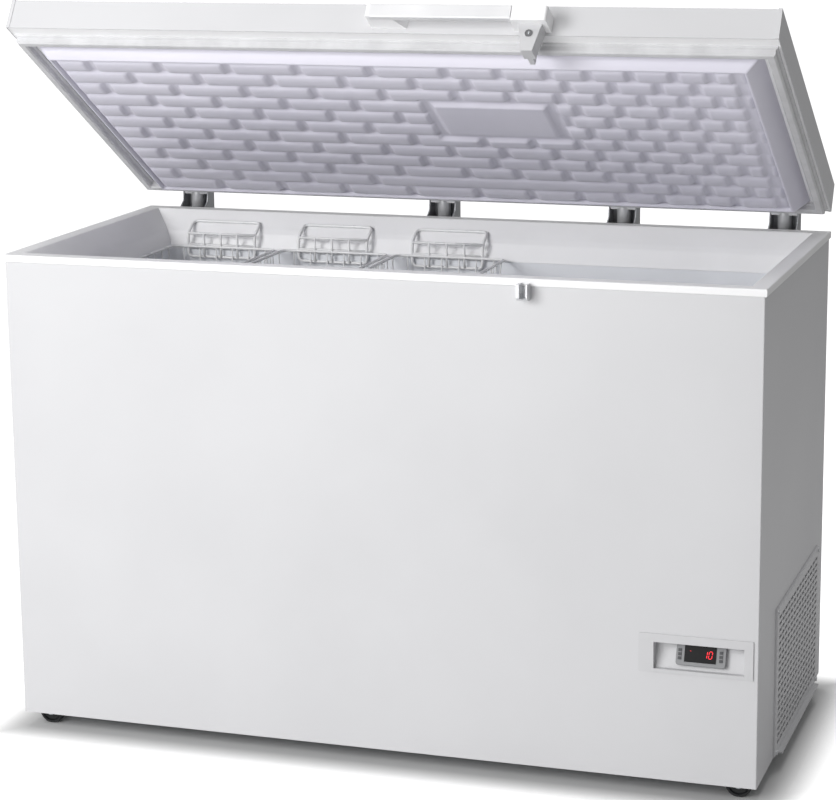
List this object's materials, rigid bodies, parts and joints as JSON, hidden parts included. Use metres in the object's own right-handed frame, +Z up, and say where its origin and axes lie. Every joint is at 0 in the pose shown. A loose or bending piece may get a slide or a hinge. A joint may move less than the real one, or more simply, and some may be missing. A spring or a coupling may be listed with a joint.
{
  "type": "low temperature chest freezer",
  "caption": "Low temperature chest freezer, insulated lid held open on counterbalanced cam hinges, stepped liner, hanging wire baskets, front controller, side grille, on rollers",
  "frame": {"origin": "on the floor under the middle of the cabinet's footprint, between the rollers", "axes": "+Z up, +X to the right seen from the front, +Y to the back; the lid opens away from the front"},
  "size_m": [1.276, 0.655, 1.2308],
  "materials": {
    "white_enamel": "white powder-coated sheet steel",
    "white_moulding": "white extruded plastic",
    "liner_enamel": "pale grey painted sheet",
    "plug_plastic": "vacuum-formed lavender-white plastic",
    "foam": "rigid polyurethane foam",
    "gasket_rubber": "grey magnetic gasket",
    "galvanised": "galvanised sheet",
    "zinc_steel": "zinc-plated steel",
    "hinge_paint": "grey painted steel",
    "spring_steel": "oiled spring steel",
    "black_enamel": "black painted steel",
    "mount_rubber": "black rubber",
    "black_plastic": "black moulded plastic",
    "fin_aluminium": "thin aluminium fins",
    "motor_casting": "painted die-cast aluminium",
    "copper": "copper tube",
    "controller_grey": "grey moulded plastic",
    "display_black": "smoked window",
    "key_grey": "dark grey keys",
    "handle_aluminium": "satin anodised",
    "chrome": "polished chrome",
    "coated_wire": "white plastic-coated wire",
    "roller_nylon": "black nylon"
  },
  "bodies": {
    "cabinet": {"outer_shell": "white_enamel", "back_panel": "white_enamel", "rim_frame": "white_moulding", "grille": "white_moulding", "controller_bezel": "white_moulding", "liner": "liner_enamel", "insulation": "foam", "base_pan": "galvanised", "machine_room_panel": "galvanised", "fan_shroud": "galvanised", "roller_brackets": "galvanised", "keeper": "zinc_steel", "panel_screws": "zinc_steel", "temperature_probe": "zinc_steel", "hinge_pins": "zinc_steel", "roller_axles": "zinc_steel", "hinge_base_1": "hinge_paint", "hinge_base_2": "hinge_paint", "hinge_base_3": "hinge_paint", "hinge_base_4": "hinge_paint", "hinge_springs": "spring_steel", "compressor": "black_enamel", "compressor_mounts": "mount_rubber", "relay_box": "black_plastic", "condenser": "fin_aluminium", "fan_motor": "motor_casting", "evaporator_coil": "copper", "refrigerant_tubes": "copper", "filter_drier": "copper", "controller_body": "controller_grey", "display_window": "display_black"},
    "lid": {"lid_skin": "white_enamel", "lid_end_panel_left": "white_enamel", "lid_end_panel_right": "white_enamel", "lid_frame": "white_moulding", "lid_gasket": "gasket_rubber", "lid_liner": "plug_plastic", "lid_insulation": "foam", "handle_bar": "handle_aluminium", "handle_bracket": "white_moulding", "handle_block": "white_moulding", "lock_housing": "white_moulding", "hinge_leaves": "hinge_paint"},
    "plungers": {"hinge_plungers": "zinc_steel"},
    "cylinder": {"lock_cylinder": "chrome"},
    "bolt": {"lock_bolt": "chrome"},
    "left_basket": {"basket_left": "coated_wire"},
    "middle_basket": {"basket_middle": "coated_wire"},
    "right_basket": {"basket_right": "coated_wire"},
    "fan": {"fan_blades": "black_plastic"},
    "key_1": {"key_1": "key_grey"},
    "key_2": {"key_2": "key_grey"},
    "key_3": {"key_3": "key_grey"},
    "key_4": {"key_4": "key_grey"},
    "key_5": {"key_5": "key_grey"},
    "key_6": {"key_6": "key_grey"},
    "front_left_roller": {"roller_front_left": "roller_nylon"},
    "front_right_roller": {"roller_front_right": "roller_nylon"},
    "back_left_roller": {"roller_back_left": "roller_nylon"},
    "back_right_roller": {"roller_back_right": "roller_nylon"}
  },
  "joints": [
    {"name": "lid_hinge", "type": "hinge", "parent": "cabinet", "child": "lid", "pos_m": [0, 0.3325, 0.879], "axis": [-1, 0, 0], "range_deg": [-32, 46]},
    {"name": "hinge_spring_lift", "type": "slide", "parent": "cabinet", "child": "plungers", "axis": [0, 0, 1], "range_m": [-0.0046, 0.0066], "deforming": ["hinge_springs"]},
    {"name": "lock_turn", "type": "hinge", "parent": "lid", "child": "cylinder", "pos_m": [0.259, -0.27459, 1.18878], "axis": [0, -0.848, 0.5299], "range_deg": [0, 90]},
    {"name": "lock_bolt_slide", "type": "slide", "parent": "lid", "child": "bolt", "axis": [-1, 0, 0], "range_m": [0, 0.0065]},
    {"name": "left_basket_slide", "type": "slide", "parent": "cabinet", "child": "left_basket", "axis": [1, 0, 0], "range_m": [-0.0015, 0.009]},
    {"name": "middle_basket_slide", "type": "slide", "parent": "cabinet", "child": "middle_basket", "axis": [1, 0, 0], "range_m": [0, 0.009]},
    {"name": "right_basket_slide", "type": "slide", "parent": "cabinet", "child": "right_basket", "axis": [1, 0, 0], "range_m": [0, 0.475]},
    {"name": "fan_spin", "type": "hinge", "parent": "cabinet", "child": "fan", "pos_m": [0.566, 0.0425, 0.1475], "axis": [1, 0, 0], "continuous": true},
    {"name": "key_1_press", "type": "slide", "parent": "cabinet", "child": "key_1", "axis": [0, 0.9442, -0.3294], "range_m": [0, 0.0008], "stiffness_N_per_m": 300},
    {"name": "key_2_press", "type": "slide", "parent": "cabinet", "child": "key_2", "axis": [0, 0.9442, -0.3294], "range_m": [0, 0.0008], "stiffness_N_per_m": 300},
    {"name": "key_3_press", "type": "slide", "parent": "cabinet", "child": "key_3", "axis": [0, 0.9442, -0.3294], "range_m": [0, 0.0008], "stiffness_N_per_m": 300},
    {"name": "key_4_press", "type": "slide", "parent": "cabinet", "child": "key_4", "axis": [0, 0.9442, -0.3294], "range_m": [0, 0.0008], "stiffness_N_per_m": 300},
    {"name": "key_5_press", "type": "slide", "parent": "cabinet", "child": "key_5", "axis": [0, 0.9442, -0.3294], "range_m": [0, 0.0008], "stiffness_N_per_m": 300},
    {"name": "key_6_press", "type": "slide", "parent": "cabinet", "child": "key_6", "axis": [0, 0.9442, -0.3294], "range_m": [0, 0.0008], "stiffness_N_per_m": 300},
    {"name": "front_left_roll", "type": "hinge", "parent": "cabinet", "child": "front_left_roller", "pos_m": [-0.596, -0.2525, 0.0215], "axis": [0, 1, 0], "continuous": true},
    {"name": "front_right_roll", "type": "hinge", "parent": "cabinet", "child": "front_right_roller", "pos_m": [0.596, -0.2525, 0.0215], "axis": [0, 1, 0], "continuous": true},
    {"name": "back_left_roll", "type": "hinge", "parent": "cabinet", "child": "back_left_roller", "pos_m": [-0.596, 0.2525, 0.0215], "axis": [0, 1, 0], "continuous": true},
    {"name": "back_right_roll", "type": "hinge", "parent": "cabinet", "child": "back_right_roller", "pos_m": [0.596, 0.2525, 0.0215], "axis": [0, 1, 0], "continuous": true}
  ],
  "couplings": [
    {"joint": "hinge_spring_lift", "follows": "lid_hinge", "m_per_rad": 0.008},
    {"joint": "lock_bolt_slide", "follows": "lock_turn", "m_per_rad": 0.004}
  ]
}
